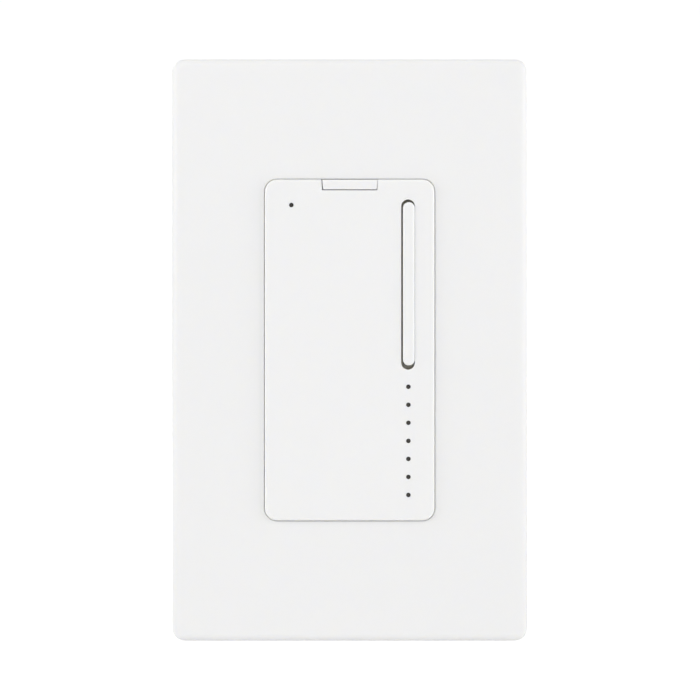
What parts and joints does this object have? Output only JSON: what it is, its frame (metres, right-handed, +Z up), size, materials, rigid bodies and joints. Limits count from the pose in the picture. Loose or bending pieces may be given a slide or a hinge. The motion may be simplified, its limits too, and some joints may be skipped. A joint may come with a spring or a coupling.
{
  "type": "dimmer switch",
  "caption": "Wall dimmer with a screwless plate, a large tap paddle, a narrow brighten and dim rocker bar, level lights and a pull-out air-gap tab.",
  "frame": {"origin": "midway between the two wall-box screws, on the wall's surface", "axes": "+Y into the wall, +Z up, +X right as seen from the room; the front faces -Y"},
  "size_m": [0.0698, 0.042, 0.1142],
  "materials": {
    "gloss_white": "fine satin moulded",
    "bracket_white": "matt moulded",
    "frame_white": "matt moulded",
    "yoke_metal": "satin stamped",
    "screw_steel": "zinc plated",
    "spring_steel": "bright wire",
    "fibre": "red vulcanised fibre",
    "ground_green": "green dyed plating",
    "brass": "stamped",
    "clear_pipe": "clear moulded acrylic",
    "smoked_lens": "smoked translucent acrylic",
    "board_green": "solder mask",
    "chip_black": "moulded epoxy",
    "housing_black": "fine spark-eroded texture",
    "tact_black": "moulded",
    "tact_steel": "stamped cover over a black base",
    "led_white": "white body with phosphor",
    "shield_metal": "tin plated",
    "copper": "enamelled copper wire",
    "ferrite": "sintered",
    "coated_core": "epoxy coated",
    "film_yellow": "moulded box",
    "can_sleeve": "shrink sleeve",
    "varistor_blue": "dipped coating",
    "fuse_body": "ceramic tube",
    "fish_paper": "pressed insulating paper",
    "gap_pad": "silicone gap pad",
    "coil_tape": "polyester tape",
    "passive_mix": "sintered with tinned ends"
  },
  "bodies": {
    "device": {"wall_plate": "gloss_white", "plate_bracket": "bracket_white", "plate_screws": "screw_steel", "yoke": "yoke_metal", "box_screws": "screw_steel", "screw_retainers": "fibre", "ground_screw": "ground_green", "front_frame": "frame_white", "front_frame_screws": "screw_steel", "paddle_pivot_pins": "spring_steel", "bar_pivot_pin": "spring_steel", "paddle_return_springs": "spring_steel", "level_light_pipe": "clear_pipe", "status_light_pipe": "clear_pipe", "air_gap_fixed_contacts": "brass", "control_board": "board_green", "control_board_screws": "screw_steel", "level_leds": "led_white", "status_led": "led_white", "paddle_tact_switch": "tact_steel", "brighten_tact_switch": "tact_steel", "dim_tact_switch": "tact_steel", "microcontroller": "chip_black", "wifi_module": "board_green", "wifi_shield": "shield_metal", "crystal": "shield_metal", "board_passives": "passive_mix", "board_header": "chip_black", "header_pins": "brass", "insulating_sheet": "fish_paper", "power_board": "board_green", "choke_core": "coated_core", "choke_winding": "copper", "film_capacitor": "film_yellow", "electrolytic_capacitors": "can_sleeve", "fuse": "fuse_body", "varistor": "varistor_blue", "bridge_rectifier": "chip_black", "optocoupler": "chip_black", "transformer_core": "ferrite", "transformer_winding": "coil_tape", "transformer_base": "chip_black", "power_transistors": "chip_black", "transistor_screws": "screw_steel", "thermal_pad": "gap_pad", "back_housing": "housing_black", "housing_screws": "screw_steel", "terminal_contacts": "brass", "terminal_clamps": "brass", "terminal_screws": "brass"},
    "paddle": {"paddle": "gloss_white", "level_lens_strip": "smoked_lens", "status_lens": "smoked_lens"},
    "dimming_bar": {"dimming_bar": "gloss_white"},
    "air_gap_tab": {"air_gap_tab": "gloss_white", "air_gap_bridge": "brass"},
    "paddle_tact_stem": {"paddle_tact_stem": "tact_black"},
    "brighten_tact_stem": {"brighten_tact_stem": "tact_black"},
    "dim_tact_stem": {"dim_tact_stem": "tact_black"}
  },
  "joints": [
    {"name": "paddle_hinge", "type": "hinge", "parent": "device", "child": "paddle", "pos_m": [0, -0.005, 0.0309], "axis": [1, 0, 0], "range_deg": [0, 0.6], "stiffness_Nm_per_rad": 6, "deforming": ["paddle_return_springs"]},
    {"name": "bar_hinge", "type": "hinge", "parent": "device", "child": "dimming_bar", "pos_m": [0.01158, -0.0044, 0.01298], "axis": [1, 0, 0], "range_deg": [-1.5, 1.5], "stiffness_Nm_per_rad": 0.7},
    {"name": "air_gap_slide", "type": "slide", "parent": "device", "child": "air_gap_tab", "axis": [0, -1, 0], "range_m": [0, 0.003]},
    {"name": "paddle_stem_slide", "type": "slide", "parent": "device", "child": "paddle_tact_stem", "axis": [0, 1, 0], "range_m": [0, 0.00044]},
    {"name": "brighten_stem_slide", "type": "slide", "parent": "device", "child": "brighten_tact_stem", "axis": [0, 1, 0], "range_m": [-0.00028, 0.00028]},
    {"name": "dim_stem_slide", "type": "slide", "parent": "device", "child": "dim_tact_stem", "axis": [0, 1, 0], "range_m": [-0.00028, 0.00028]}
  ],
  "couplings": [
    {"joint": "paddle_stem_slide", "follows": "paddle_hinge", "m_per_rad": 0.0409},
    {"joint": "brighten_stem_slide", "follows": "bar_hinge", "m_per_rad": -0.0105},
    {"joint": "dim_stem_slide", "follows": "bar_hinge", "m_per_rad": 0.0105}
  ]
}
